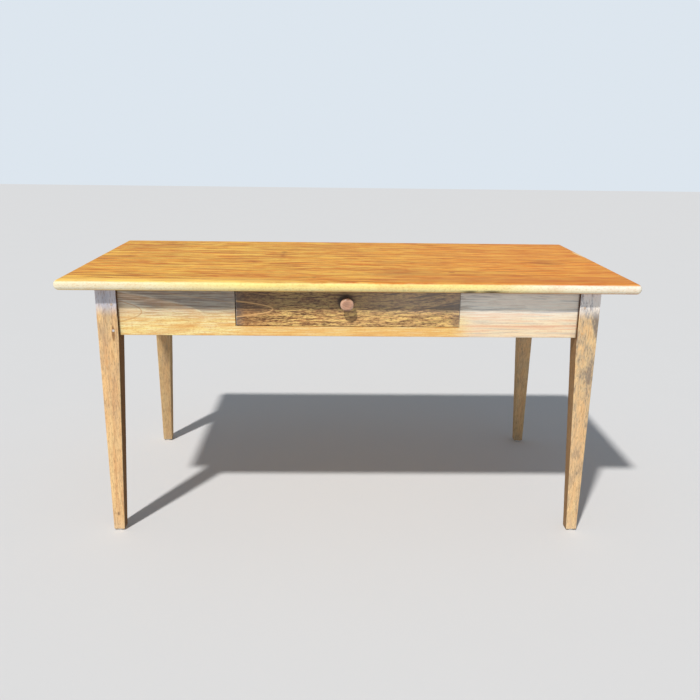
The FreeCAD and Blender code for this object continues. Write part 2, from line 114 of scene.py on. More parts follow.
class Bench:
    # The node tree of one material or world
    def __init__(self, holder):
        self.holder = holder
        holder.use_nodes = True
        self.tree = holder.node_tree
        self.tree.nodes.clear()

    def node(self, kind, settings=None, values=None, output=0):
        made = self.tree.nodes.new(kind)
        for key, value in (settings or {}).items():
            setattr(made, key, value)
        for key, value in (values or {}).items():
            if isinstance(value, Flow):
                self.tree.links.new(value.socket, made.inputs[key])
            else:
                made.inputs[key].default_value = value
        return Flow(self, made.outputs[output]) if made.outputs else None

    def split(self, vector):
        parts = self.node("ShaderNodeSeparateXYZ", None, {0: vector}).socket.node.outputs
        return [Flow(self, part) for part in parts]

    def join(self, x, y, z):
        return self.node("ShaderNodeCombineXYZ", None, {0: x, 1: y, 2: z})

    def place(self):
        return self.node("ShaderNodeTexCoord", None, None, "Object")

    def noise(self, place, scale, detail=2.0, roughness=0.5):
        values = {"Vector": place, "Scale": scale, "Detail": detail, "Roughness": roughness}
        return self.node("ShaderNodeTexNoise", {"noise_dimensions": "3D"}, values)

    # A noise of scale 1 whose three directions are stretched one by one
    def grainNoise(self, x, y, z, detail=2.0, roughness=0.5):
        return self.noise(self.join(x, y, z), 1.0, detail, roughness)

    def mix(self, share, first, second):
        settings = {"data_type": "RGBA", "blend_type": "MIX", "clamp_factor": True}
        return self.node("ShaderNodeMix", settings, {0: share, 6: first, 7: second}, 2)

    def surface(self, colour, roughness, height, depth, constants):
        bump = self.node("ShaderNodeBump", None, {"Strength": 1.0, "Distance": depth, "Height": height})
        values = {"Base Color": colour, "Roughness": roughness, "Normal": bump}
        values.update(constants)
        shader = self.node("ShaderNodeBsdfPrincipled", None, values)
        self.node("ShaderNodeOutputMaterial", None, {"Surface": shader})
        return self.holder


def linear(red, green, blue):
    # A colour as seen on screen, 0 to 255, made linear
    return tuple((value / 255.0) ** 2.2 for value in (red, green, blue)) + (1.0,)


# Solid wood: growth rings round a pith that runs along the grain, so that faces and ends agree

axisOrder = {"X": (0, 1, 2), "Y": (1, 2, 0), "Z": (2, 0, 1)}

woodLook = {
    "grain": "X",
    "pith": (0.0, -0.06),        # where the pith lies across the grain
    "lean": (0.0, 0.02),         # how fast it drifts along the grain
    "seed": 0.0,
    "wander": 12.0 * mm,
    "sway": 14.0 * mm,           # how far the streaks swing from a straight line
    "ripple": 1.6 * mm,
    "curl": 0.0,                 # short waves, for burr and figure
    "ringWidth": 4.0 * mm,
    "ringShare": 0.5,
    "ringTones": 0.25,
    "base": linear(240, 190, 120),
    "late": linear(190, 130, 70),
    "streaks": (),               # across, along, from, to, colour, share
    "knots": (),                 # along, across, size, push
    "knotColour": linear(96, 60, 34),
    "rubColour": linear(250, 225, 170),
    "rubShare": 0.6,
    "grime": linear(84, 58, 38),
    "grimeShare": 0.3,
    "roughness": 0.42,
    "gloss": 0.3,
    "relief": 0.2 * mm,
    "finish": None,
    "legGap": 0.0,               # from the middle of an apron to the legs
    "hazeShare": 0.35,           # how much painted shade greys an apron under the top
}


class WoodPlace:
    # The named flows of one piece, which its own finish reads and paints over
    def __init__(self, bench, look):
        self.bench = bench
        self.look = look

    def paint(self, share, tint):
        self.colour = self.bench.mix(share, self.colour, tint)


def streakLayer(here, across, along, start, end, turn):
    place = (here.along / along + turn, here.level / across, here.depth / across)
    return here.bench.grainNoise(*place, 2.0, 0.55).rise(start, end)


def woodMaterial(name, **changes):
    look = dict(woodLook)
    look.update(changes)
    bench = Bench(bpy.data.materials.new(name))
    here = WoodPlace(bench, look)
    here.x, here.y, here.z = bench.split(bench.place())
    flows = (here.x, here.y, here.z)
    along, across, deep = [flows[index] for index in axisOrder[look["grain"]]]
    seed = look["seed"]

    # the trunk bends slowly, ripples finely, and swells round its knots
    slow = bench.grainNoise(along * 1.3 + seed, across * 4.0, deep * 4.0, 1.0) - 0.5
    fine = bench.grainNoise(along * 7.0 + seed, across * 30.0, deep * 30.0) - 0.5
    sideways = across - along * look["lean"][0] - look["pith"][0] + slow * (look["wander"] * 2.0)
    inwards = deep - along * look["lean"][1] - look["pith"][1] + slow * look["wander"]
    level = across + slow * look["sway"]
    depth = deep + slow * look["sway"]
    if look["curl"] > 0.0:
        curl = bench.grainNoise(along * 22.0 + seed, across * 55.0, deep * 55.0) - 0.5
        inwards = inwards + curl * look["curl"]
        sideways = sideways + curl * (look["curl"] * 0.7)
        level = level + curl * look["curl"]
    swell = None
    knotCore = None
    for knotAlong, knotAcross, knotSize, knotPush in look["knots"]:
        far = (along - knotAlong) / (knotSize * 2.2)
        wide = (across - knotAcross) / knotSize
        reach = (far * far + wide * wide).root()
        bulge = reach.bell(1.7)
        sideways = sideways - bulge * wide * (knotPush * 0.4)
        level = level - bulge * wide * (knotPush * 0.5)
        swell = bulge * knotPush if swell is None else swell + bulge * knotPush
        core = 1.0 - (reach + fine * 0.6).rise(0.18, 0.5)
        knotCore = core if knotCore is None else knotCore.high(core)
    radius = (sideways * sideways + inwards * inwards).root() + fine * look["ripple"]
    if swell is not None:
        radius = radius + swell
    here.along, here.level, here.depth, here.slow, here.fine = along, level, depth, slow, fine

    # early wood darkens to a thin late line, and every ring has a tone of its own
    uneven = bench.grainNoise(radius * 60.0 + seed, 0.0, 0.0, 1.0)
    phase = radius / look["ringWidth"] + uneven * 2.5
    ringNumber = phase.floor() + seed
    ringTone = bench.node("ShaderNodeTexWhiteNoise", {"noise_dimensions": "1D"}, {"W": ringNumber})
    turn = phase.fract()
    lateWood = turn.rise(0.3, 0.92) * (1.0 - turn.rise(0.94, 1.0)) * (ringTone * 0.7 + 0.3)
    colour = bench.mix((ringTone - 0.35) * look["ringTones"], look["base"], look["late"])
    colour = bench.mix(lateWood * look["ringShare"], colour, look["late"])

    # streaks and stains that follow the grain, from wide to narrow
    here.layers = []
    for index, (wide, far, start, end, tint, share) in enumerate(look["streaks"]):
        layer = streakLayer(here, wide, far, start, end, seed + 3.7 * index)
        here.layers.append(layer)
        colour = bench.mix(layer * share, colour, tint)
    fibre = bench.grainNoise(along * 30.0 + seed, across * 900.0, deep * 900.0, 2.0, 0.6)
    pore = bench.grainNoise(along * 120.0, across * 1400.0, deep * 1400.0, 1.0).rise(0.6, 0.74)
    colour = bench.mix(fibre.rise(0.5, 0.8) * 0.35, colour, look["late"])
    colour = bench.mix(pore * 0.3, colour, look["grime"])
    blotch = bench.grainNoise(along * 7.0 + seed, across * 14.0, deep * 14.0, 4.0, 0.65)
    speck = bench.grainNoise(along * 70.0 + seed, across * 170.0, deep * 170.0, 3.0, 0.7)
    here.blotch, here.speck = blotch, speck
    colour = bench.mix(speck.rise(0.6, 0.72) * look["grimeShare"], colour, look["grime"])
    if knotCore is not None:
        colour = bench.mix(knotCore * 0.85, colour, look["knotColour"])

    # rounded arrises, where no part of the normal stands alone, are rubbed pale, and on the legs the pale
    # line also stands for a painted highlight
    normal = bench.node("ShaderNodeNewGeometry", None, None, "Normal")
    here.normalX, here.normalY, here.normalZ = bench.split(normal)
    strongest = abs(here.normalX).high(abs(here.normalY)).high(abs(here.normalZ))
    arris = (1.0 - strongest).rise(0.02, 0.18)
    rub = arris * (blotch + speck * 0.5).rise(0.6, 0.9)
    colour = bench.mix(rub * look["rubShare"], colour, look["rubColour"])
    here.colour = colour
    here.roughness = blotch * 0.14 + speck * 0.12 - lateWood * 0.05 + (look["roughness"] - 0.12)
    here.height = lateWood * 0.4 + fibre * 0.35 - pore * 0.4 - speck.rise(0.64, 0.74) * 0.5
    if look["finish"]:
        look["finish"](here)
    gloss = {"Specular IOR Level": look["gloss"]}
    return bench.surface(here.colour, here.roughness, here.height, look["relief"], gloss)


# Modelling helpers: everything is deselected, then faces and edges are picked by place

def deselectAll():
    for item in list(bpy.context.selected_objects):
        item.select_set(False)


def activate(item):
    deselectAll()
    item.select_set(True)
    bpy.context.view_layer.objects.active = item


def boxPiece(name, low, high):
    deselectAll()
    centre = [(a + b) / 2 for a, b in zip(low, high)]
    bpy.ops.mesh.primitive_cube_add(size=1.0, location=centre)
    item = bpy.context.active_object
    item.name = name
    item.data.name = name
    item.scale = [b - a for a, b in zip(low, high)]
    bpy.ops.object.transform_apply(location=True, rotation=True, scale=True)
    return item


def editWith(item, kind, test):
    # Picks the edges or faces that pass the test and stays in edit mode
    activate(item)
    bpy.ops.object.mode_set(mode="EDIT")
    bpy.ops.mesh.select_mode(type=kind)
    bpy.ops.mesh.select_all(action="DESELECT")
    bpy.ops.object.mode_set(mode="OBJECT")
    mesh = item.data
    if kind == "EDGE":
        for edge in mesh.edges:
            ends = [mesh.vertices[index].co for index in edge.vertices]
            edge.select = test(ends[0], ends[1])
    else:
        for face in mesh.polygons:
            face.select = test(face.center, face.normal)
    bpy.ops.object.mode_set(mode="EDIT")


def leaveEdit():
    bpy.ops.object.mode_set(mode="OBJECT")


def sliceAt(item, axis, places):
    activate(item)
    bpy.ops.object.mode_set(mode="EDIT")
    bpy.ops.mesh.select_mode(type="FACE")
    normal = [0.0, 0.0, 0.0]
    normal[axis] = 1.0
    for place in places:
        point = [0.0, 0.0, 0.0]
        point[axis] = place
        bpy.ops.mesh.select_all(action="SELECT")
        bpy.ops.mesh.bisect(plane_co=point, plane_no=normal)
    leaveEdit()


def keepBetween(item, axis, low, high):
    activate(item)
    bpy.ops.object.mode_set(mode="EDIT")
    bpy.ops.mesh.select_mode(type="FACE")
    normal = [0.0, 0.0, 0.0]
    normal[axis] = 1.0
    for place, clearLow in ((low, True), (high, False)):
        if place is None:
            continue
        point = [0.0, 0.0, 0.0]
        point[axis] = place
        bpy.ops.mesh.select_all(action="SELECT")
        bpy.ops.mesh.bisect(
            plane_co=point, plane_no=normal, use_fill=True, clear_inner=clearLow, clear_outer=not clearLow)
    leaveEdit()


def bevelPicked(width, segments):
    bpy.ops.mesh.bevel(offset=width, segments=segments, affect="EDGES", clamp_overlap=False)
    leaveEdit()


def steps(low, high, size):
    count = max(1, int(round((high - low) / size)))
    return [low + (high - low) * index / count for index in range(1, count)]


def weigh(item, name, weightOf):
    group = item.vertex_groups.new(name=name)
    for vertex in item.data.vertices:
        weight = max(0.0, min(1.0, weightOf(vertex.co)))
        group.add([vertex.index], weight, "REPLACE")


def wearDown(item, groupName, depth, size):
    # Rubs the surface inwards by a soft noise, never outwards
    cloud = bpy.data.textures.new(item.name + "Cloud", "CLOUDS")
    cloud.noise_scale = size
    cloud.noise_depth = 2
    rub = item.modifiers.new("rub", "DISPLACE")
    rub.texture = cloud
    rub.texture_coords = "GLOBAL"
    rub.mid_level = 1.0
    rub.strength = depth
    rub.vertex_group = groupName
    activate(item)
    bpy.ops.object.modifier_apply(modifier=rub.name)


def cutAway(item, cutter, crossing=False):
    cut = item.modifiers.new("cut", "BOOLEAN")
    cut.operation = "DIFFERENCE"
    cut.solver = "EXACT"
    cut.use_self = crossing
    cut.object = cutter
    activate(item)
    bpy.ops.object.modifier_apply(modifier=cut.name)
    cutterMesh = cutter.data
    bpy.data.objects.remove(cutter)
    bpy.data.meshes.remove(cutterMesh)


def copyOf(item, name):
    made = item.copy()
    made.data = item.data.copy()
    made.name = name
    made.data.name = name
    bpy.context.scene.collection.objects.link(made)
    return made


def joined(items, name):
    deselectAll()
    for item in items:
        item.select_set(True)
    bpy.context.view_layer.objects.active = items[0]
    bpy.ops.object.join()
    made = bpy.context.active_object
    made.name = name
    made.data.name = name
    return made


def finishPiece(item, material, slotName, body, *nodes):
    activate(item)
    bpy.ops.object.mode_set(mode="EDIT")
    bpy.ops.mesh.select_all(action="SELECT")
    bpy.ops.mesh.remove_doubles(threshold=weldGap)
    bpy.ops.mesh.normals_make_consistent(inside=False)
    leaveEdit()
    bpy.ops.object.shade_smooth_by_angle(angle=smoothAngle)
    item.vertex_groups.clear()
    item.data.materials.clear()
    item.data.materials.append(material)
    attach(item, body)
    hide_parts(*nodes)


def dress(node, material):
    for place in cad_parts[node].material_slots:
        place.material = material


# Table top

topLook = {
    "cornerRadius": 16.0 * mm,
    "cornerSegments": 7,
    "edgeRadius": 13.0 * mm,
    "edgeSegments": 9,
    "sliceAlong": 16.0 * mm,
    "sliceAcross": 48.0 * mm,
    "tongue": (12.2 * mm, 4.2 * mm, 60.0 * mm),      # half width, half thickness, margin at the ends
    "wear": ((1.4 * mm, 0.11), (0.7 * mm, 0.018)),   # depth and size of each layer of wear
    "holeSeed": 11,
    "holeCount": 46,
    "holeAngles": (-62, 25),     # degrees, 0 straight to the front
    "holeRadii": (0.5, 1.1),     # mm
    "holePlaces": (-0.30, 0.46), # from and to, along the front edge
    "holeDepth": 6.0 * mm,
    "holeTilt": 0.3,             # radians off square
    "seamLine": 1.1 * mm,
}

topLow = Vector(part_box("top_board_1")[0])
topHigh = Vector(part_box("top_board_4")[1])
topThickness = topHigh.z - topLow.z
boardSeams = [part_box("top_board_%d" % index)[0][1] for index in (2, 3, 4)]


def topBlank():
    blank = boxPiece("topBlank", topLow, topHigh)

    def isUpright(first, second):
        return abs(first.z - second.z) > topThickness / 2

    def isRim(first, second):
        return abs(first.z - second.z) < mm / 10

    editWith(blank, "EDGE", isUpright)
    bevelPicked(topLook["cornerRadius"], topLook["cornerSegments"])
    editWith(blank, "EDGE", isRim)
    bevelPicked(topLook["edgeRadius"], topLook["edgeSegments"])
    sliceAt(blank, 0, steps(topLow.x, topHigh.x, topLook["sliceAlong"]))
    sliceAt(blank, 1, steps(topLow.y, topHigh.y, topLook["sliceAcross"]))
    return blank


def edgeWeight(place):
    depth = min(topHigh.x - abs(place.x), topHigh.y - abs(place.y))
    return 1.0 - depth / topLook["edgeRadius"]


def tongueCutter(seam):
    reachY, reachZ, margin = topLook["tongue"]
    middle = (topLow.z + topHigh.z) / 2
    low = (topLow.x + margin, seam - reachY, middle - reachZ)
    high = (topHigh.x - margin, seam + reachY, middle + reachZ)
    return boxPiece("tongueCutter", low, high)


def wormHoles():
    # Small round holes low on the front edge
    look = topLook
    source = random.Random(look["holeSeed"])
    centreY = topLow.y + look["edgeRadius"]
    centreZ = (topLow.z + topHigh.z) / 2
    tilt = look["holeTilt"]
    drills = []
    for index in range(look["holeCount"]):
        angle = math.radians(source.uniform(*look["holeAngles"]))
        radius = source.uniform(*look["holeRadii"]) * mm
        placeX = source.uniform(*look["holePlaces"])
        out = Vector((0.0, -math.cos(angle), math.sin(angle)))
        centre = Vector((placeX, centreY, centreZ)) + out * look["edgeRadius"]
        deselectAll()
        bpy.ops.mesh.primitive_cylinder_add(
            vertices=8, radius=radius, depth=look["holeDepth"], location=centre)
        drill = bpy.context.active_object
        turnX = math.pi / 2 - angle + source.uniform(-tilt, tilt)
        drill.rotation_euler = (turnX, source.uniform(-tilt, tilt), 0.0)
        bpy.ops.object.transform_apply(location=True, rotation=True, scale=True)
        drills.append(drill)
    return joined(drills, "wormDrills")


def buildTop():
    blank = topBlank()
    weigh(blank, "edge", edgeWeight)
    for depth, size in topLook["wear"]:
        wearDown(blank, "edge", depth, size)
    cuts = [None] + boardSeams + [None]
    for index, material in enumerate(topMaterials()):
        board = copyOf(blank, "topBoard%d" % (index + 1))
        keepBetween(board, 1, cuts[index], cuts[index + 1])
        for seam in cuts[index:index + 2]:
            if seam is not None:
                cutAway(board, tongueCutter(seam))
        if index == 0:
            cutAway(board, wormHoles(), True)
        finishPiece(board, material, "top_wood", "frame", "top_board_%d" % (index + 1))
    bpy.data.objects.remove(blank)


# Along, across, size and push of the knots in each board, front board first
topKnots = (
    ((-0.10, -0.32, 9.0 * mm, 9.0 * mm), (0.30, -0.22, 12.0 * mm, 12.0 * mm)),
    (
        (-0.29, -0.068, 13.0 * mm, 14.0 * mm), (0.63, -0.055, 17.0 * mm, 20.0 * mm),
        (0.42, -0.15, 7.0 * mm, 6.0 * mm)),
    ((-0.21, 0.138, 14.0 * mm, 16.0 * mm), (-0.70, 0.03, 9.0 * mm, 9.0 * mm)),
    ((0.12, 0.24, 9.0 * mm, 8.0 * mm), (0.62, 0.31, 10.0 * mm, 10.0 * mm)),
)


def spot(here, placeX, placeY, reachX, reachY):
    # 1 in the middle of an oval patch, fading to 0
    across = (here.x - placeX) / reachX
    along = (here.y - placeY) / reachY
    return ((across * across + along * along).root() + (here.blotch - 0.5) * 1.6).rise(1.1, 0.35)


def topFinish(here):
    bench = here.bench
    # deeper orange to the right, and dull brown where the front board was used most
    here.paint(here.x.rise(-0.3, 0.8) * 0.4, linear(238, 134, 54))
    used = spot(here, 0.24, -0.26, 0.30, 0.10) * here.layers[0].rise(0.0, 1.0)
    here.paint(used * 0.35, linear(168, 112, 62))
    # two darker places, and a mark across the grain left of the middle
    dark = spot(here, 0.62, -0.04, 0.07, 0.06).high(spot(here, -0.62, 0.25, 0.16, 0.06) * 0.7)
    here.paint(dark * 0.35, linear(150, 88, 48))
    mark = (here.x + 0.211).bell(9.0 * mm) * here.y.rise(-0.08, 0.06) * here.y.rise(0.17, 0.13)
    here.paint(mark * here.speck.rise(0.35, 0.6) * 0.6, linear(160, 96, 50))

    # a thin dark line where two boards meet
    line = topLook["seamLine"]
    seam = (abs(here.y) - boardSeams[2]).bell(line).high(here.y.bell(line)) * here.normalZ.rise(0.5, 0.9)
    here.paint(seam * here.blotch.rise(0.2, 0.5) * 0.75, linear(134, 72, 28))

    # along the front the finish is rubbed lighter on the left and is browner on the right
    lighter = here.y.rise(-0.33, -0.375) * here.x.rise(0.0, -0.3)
    here.paint(lighter * 0.45, linear(255, 222, 128))
    browner = here.y.rise(-0.22, -0.33) * here.x.rise(-0.05, 0.25)
    here.paint(browner * 0.45, linear(196, 116, 56))

    # the rounded edge is rubbed down to pale wood, with a painted highlight that makes it paler still,
    # whitest at the ends and to the right, and painted light on its lower half; painted shade darkens its
    # underside
    nose = (1.0 - abs(here.normalZ)).rise(0.1, 0.42)
    bare = (here.blotch * 0.9 + here.speck * 0.4).rise(0.45, 0.75)
    ends = abs(here.x - 0.05).rise(0.3, 0.72)
    pale = bench.mix(ends, linear(255, 236, 152), linear(246, 236, 206))
    # painted highlight, whiter to the right
    pale = bench.mix(here.x.rise(0.3, 0.65) * 0.7, pale, linear(255, 253, 244))
    # painted light that keeps the lower half of the edge as pale as the upper
    lower = bench.mix(ends, linear(255, 240, 172), linear(255, 246, 220))
    pale = bench.mix(here.normalZ.rise(0.3, -0.3) * 0.8, pale, lower)
    fleck = bench.grainNoise(here.x * 150.0, here.y * 260.0, here.z * 260.0, 2.0, 0.6)
    pale = bench.mix(fleck.rise(0.52, 0.62) * 0.3, pale, linear(206, 174, 116))
    here.paint(nose * (bare * 0.3 + 0.65), pale)
    # painted shade under the edge
    under = here.normalZ.rise(-0.75, -0.97)
    here.paint(under * 0.6, linear(128, 90, 56))
    low = here.normalZ.rise(0.0, -0.55) * here.normalZ.rise(-1.0, -0.85)
    wearAndHighlight = (here.speck * 0.7 + here.blotch * 0.5).rise(0.60, 0.68)
    middle = abs(here.x - 0.1).rise(0.5, 0.3) * 0.7 + 0.2
    here.paint(low * wearAndHighlight * middle * 0.24, linear(80, 62, 46))
    # a pale chip on the right end
    chipX = (here.x - 0.786 + (here.y - 0.14) * 0.06) / 0.008
    chipY = (here.y - 0.14) / 0.065
    chip = (chipX * chipX + chipY * chipY + here.speck * 1.4).rise(1.9, 1.0)
    here.paint(chip * 0.8, linear(246, 216, 160))
    # two dark bruises low on the front edge, above the right end of the drawer
    bruise = (here.x - 0.325).bell(0.022).high((here.x - 0.385).bell(0.03)) * here.normalZ.rise(-0.1, -0.5)
    here.paint(bruise * here.normalY.rise(-0.2, -0.4) * 0.8, linear(60, 48, 38))
    here.roughness = here.roughness + nose * 0.08


topColours = {
    "streaks": (
        (70.0 * mm, 1400.0 * mm, 0.40, 0.62, linear(255, 198, 88), 0.5),
        (36.0 * mm, 900.0 * mm, 0.44, 0.62, linear(255, 160, 62), 0.5),
        (18.0 * mm, 600.0 * mm, 0.46, 0.58, linear(255, 210, 98), 0.65),
        (16.0 * mm, 450.0 * mm, 0.52, 0.58, linear(212, 118, 42), 0.85),
        (14.0 * mm, 100.0 * mm, 0.51, 0.59, linear(200, 108, 38), 0.8),
        (14.0 * mm, 90.0 * mm, 0.50, 0.59, linear(255, 212, 98), 0.65),
        (7.0 * mm, 180.0 * mm, 0.54, 0.59, linear(164, 88, 34), 0.8),
        (3.0 * mm, 120.0 * mm, 0.52, 0.62, linear(255, 220, 114), 0.45),
        (2.0 * mm, 70.0 * mm, 0.55, 0.63, linear(150, 84, 36), 0.55),
    ),
    "knotColour": linear(108, 62, 30),
    "grime": linear(150, 84, 36),
    "grimeShare": 0.3,
    "ringWidth": 5.0 * mm,
    "ringShare": 0.35,
    "roughness": 0.40,
    "gloss": 0.12,
    "relief": 0.12 * mm,
}


def topMaterials():
    piths = ((0.05, 0.70), (-0.03, 0.675), (0.02, 0.665), (0.06, 0.69))
    tones = ((255, 187, 74), (255, 179, 68), (255, 189, 76), (255, 183, 72))
    lateTones = ((255, 156, 60), (250, 148, 54), (255, 160, 62), (254, 152, 58))
    made = []
    for index, (across, deep) in enumerate(piths):
        low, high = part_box("top_board_%d" % (index + 1))
        middle = (low[1] + high[1]) / 2
        made.append(woodMaterial(
            "topWood%d" % (index + 1), seed=4.1 * index + 1.3, pith=(middle + across, deep), lean=(0.01, 0.0),
            base=linear(*tones[index]), late=linear(*lateTones[index]), knots=topKnots[index],
            finish=topFinish, **topColours))
    return made


buildTop()
print("stage: top built")


# Legs

legLook = {
    "foot": 33.0 * mm,
    "taperDrop": 8.0 * mm,
    "arris": 3.0 * mm,
    "arrisSegments": 4,
    "slice": 14.0 * mm,
    "wear": ((0.9 * mm, 0.05), (0.35 * mm, 0.012)),
    "wearAtTop": 0.6,            # share of the wear at the foot
}

# How each leg has aged and the painted shade it gets under the top; knots are along, across, size and push,
# drips are x, z, width and length
legAges = {
    "front_left": {
        "mottle": 0.35, "haze": linear(206, 214, 234), "innerShare": 0.85, "inner": linear(88, 54, 26),
        "knots": ((0.055, -0.68, 7.0 * mm, 5.0 * mm),), "drips": ((-0.6547, 0.624, 5.0 * mm, 26.0 * mm),)},
    "front_right": {
        "mottle": 1.0, "haze": linear(255, 255, 255), "innerShare": 0.7, "inner": linear(100, 66, 36),
        "knots": ((0.19, 0.68, 7.0 * mm, 5.0 * mm),), "drips": ()},
    "rear_left": {
        "mottle": 0.55, "haze": linear(214, 204, 186), "innerShare": 0.4, "inner": linear(124, 108, 80),
        "knots": (), "drips": ()},
    "rear_right": {
        "mottle": 0.8, "haze": linear(200, 196, 184), "innerShare": 0.3, "inner": linear(116, 104, 86),
        "knots": (), "drips": ()},
}

legInside = [abs(value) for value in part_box("front_left_leg")[1]]       # x and y of the inner faces
apronFace = (abs(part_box("left_apron")[0][0]), abs(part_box("front_apron")[0][1]))
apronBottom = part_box("front_apron")[0][2]


def legMaterial(name, seed, age):
    mottle = age["mottle"]

    def mottled(here):
        bench = here.bench
        # painted shade greys the band under the top, white as painted light on the front right leg, and the
        # finish has grey-brown patches lower down
        haze = here.z.rise(0.655, 0.70) * (here.blotch * 0.6 + 0.6)
        patch = bench.grainNoise(here.x * 40.0, here.y * 40.0, here.z * 13.0 + seed, 7.0, 0.72)
        thread = bench.grainNoise(here.x * 300.0, here.y * 300.0, here.z * 60.0, 3.0, 0.65)
        patch = patch * 0.84 + thread * 0.16
        up = here.z.rise(0.15, 0.62) * 0.6 + 0.4
        front = here.normalY.rise(-0.5, -0.8) * 0.5 + 0.5
        patch = patch + front * 0.02
        here.paint(mottle * 0.4, linear(242, 210, 162))
        here.paint(patch.rise(0.44, 0.56) * up * mottle * front * 0.8, linear(196, 176, 146))
        here.paint(patch.rise(0.53, 0.62) * up * mottle * front * 0.75, linear(122, 114, 112))
        # painted shade under the top, in each leg's own colour, with grey and pale patches in it
        here.paint(haze * 0.95, age["haze"])
        here.paint(patch.rise(0.52, 0.60) * haze * mottle * 0.6, linear(134, 132, 142))
        here.paint(patch.rise(0.47, 0.42) * haze * mottle * 0.5, linear(240, 226, 202))
        here.paint(thread.rise(0.53, 0.62) * 0.35, linear(146, 104, 68))
        for dripX, dripZ, dripWidth, dripLength in age["drips"]:
            downX = (here.x - dripX) / dripWidth
            downZ = (here.z - dripZ + dripLength * 0.5) / dripLength
            drip = (downX * downX + downZ * downZ + thread * 0.8).rise(1.4, 0.8)
            here.paint(drip * 0.7, linear(124, 78, 44))
        here.paint(here.z.rise(0.06, 0.0) * 0.4, linear(236, 210, 172))
        dirty = here.z.rise(0.03, 0.004) * here.speck.rise(0.5, 0.66)
        here.paint(dirty * 0.6, linear(96, 76, 58))
        # painted shade, with some dirt, in the corner where an apron meets the leg
        crevice = here.z.rise(apronBottom - 7.0 * mm, apronBottom + 2.0 * mm) * here.blotch.rise(0.2, 0.5)
        gapX, gapY = legInside[0], legInside[1]
        faceX, faceY = apronFace
        sideX = abs(here.normalX).rise(0.8, 0.95) * abs(here.x).rise(gapX + 20.0 * mm, gapX)
        sideX = sideX * abs(here.y).rise(faceY - 4.0 * mm, faceY + 3.0 * mm)
        sideY = abs(here.normalY).rise(0.8, 0.95) * abs(here.y).rise(gapY + 21.0 * mm, gapY + 1.0 * mm)
        sideY = sideY * abs(here.x).rise(faceX - 4.0 * mm, faceX + 3.0 * mm)
        here.paint(crevice * sideX.high(sideY) * 0.8, linear(62, 44, 30))
        # the two inner faces are browner than the outer ones, partly painted shade and partly an older,
        # darker finish
        innerX = (here.normalX * here.x).rise(-0.45, -0.6)
        innerY = (here.normalY * here.y).rise(-0.2, -0.28)
        here.paint(innerX.high(innerY) * age["innerShare"], age["inner"])
        here.roughness = here.roughness + innerX * 0.4
        here.height = here.height - patch.rise(0.5, 0.60) * 0.6

    return woodMaterial(
        name, grain="Z", seed=seed, pith=(0.03 + seed * 0.001, 0.09), lean=(0.01, 0.015), knots=age["knots"],
        base=linear(252, 204, 144), late=linear(214, 154, 98), ringWidth=7.0 * mm, ringShare=0.3,
        streaks=(
            (22.0 * mm, 260.0 * mm, 0.44, 0.60, linear(255, 220, 158), 0.5),
            (11.0 * mm, 110.0 * mm, 0.50, 0.62, linear(222, 160, 106), 0.5),
            (4.0 * mm, 50.0 * mm, 0.52, 0.64, linear(190, 132, 86), 0.45),
            (1.8 * mm, 20.0 * mm, 0.54, 0.66, linear(160, 108, 70), 0.4),
        ),
        rubColour=linear(255, 234, 184), rubShare=1.0, grime=linear(110, 80, 56), grimeShare=0.35,
        roughness=0.48, gloss=0.16, relief=0.25 * mm, finish=mottled)


def buildLeg(name, material):
    low, high = [Vector(place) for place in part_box(name + "_leg")]
    taperStart = apronBottom - legLook["taperDrop"]
    leg = boxPiece(name.replace("_", "") + "Leg", (low.x, low.y, taperStart), high)
    outerX = low.x if "left" in name else high.x
    outerY = low.y if "front" in name else high.y

    def isFloorSide(centre, normal):
        return normal.z < -0.9

    def isUpright(first, second):
        return abs(first.z - second.z) > 0.1

    editWith(leg, "FACE", isFloorSide)
    bpy.ops.mesh.extrude_region_move(TRANSFORM_OT_translate={"value": (0.0, 0.0, low.z - taperStart)})
    share = legLook["foot"] / (high.x - low.x)
    bpy.ops.transform.resize(value=(share, share, 1.0), center_override=(outerX, outerY, low.z))
    leaveEdit()
    editWith(leg, "EDGE", isUpright)
    bevelPicked(legLook["arris"], legLook["arrisSegments"])
    sliceAt(leg, 2, steps(low.z, high.z, legLook["slice"]))

    def footWeight(place):
        least = legLook["wearAtTop"]
        return least + (1.0 - least) * (1.0 - place.z / high.z)

    weigh(leg, "all", footWeight)
    for depth, size in legLook["wear"]:
        wearDown(leg, "all", depth, size)
    finishPiece(leg, material, "leg_wood", "frame", name + "_leg")


for index, (name, age) in enumerate(legAges.items()):
    buildLeg(name, legMaterial(name.replace("_", "") + "LegWood", 2.3 + 3.1 * index, age))
print("stage: legs built")


# Aprons

drawerLow, drawerHigh = [Vector(place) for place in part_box("drawer_front")]


def grainBow(here, tipX, tipZ, bend):
    # Distance from a line of grain that is curved like a bow, with its tip to the right
    up = here.z - tipZ
    slope = up * (2.0 * bend)
    return (here.x - tipX + up * up * bend + here.fine * 0.006) / (slope * slope + 1.0).root()


def apronFinish(here):
    # painted shade greys the apron towards the top, darkest right under it, and to the right turns to a
    # paler, whiter painted light
    toRight = here.x.rise(0.1, 0.4)
    share = here.look["hazeShare"]
    haze = here.z.rise(0.635, 0.705) * (here.blotch * 0.5 + 0.5) * (toRight * 0.5 + 1.0) * share
    here.paint(haze, here.bench.mix(toRight, linear(188, 188, 190), linear(255, 250, 236)))
    here.haze = haze
    # a darker grey in the grain on the left, painted shade under the top
    dark = here.layers[1] * here.z.rise(0.655, 0.685) * here.x.rise(0.4, 0.2) * share
    here.paint(dark * 0.5, linear(128, 118, 108))
    # painted shade right under the top
    here.paint(here.z.rise(topLow.z - 17.0 * mm, topLow.z) * 0.5, linear(110, 92, 76))
    # painted shade, with some dirt, in the corner where the apron meets a leg
    legGap = here.look["legGap"]
    nearLeg = abs(here.along).rise(legGap - 4.0 * mm, legGap)
    here.paint(nearLeg * 0.8, linear(70, 50, 34))


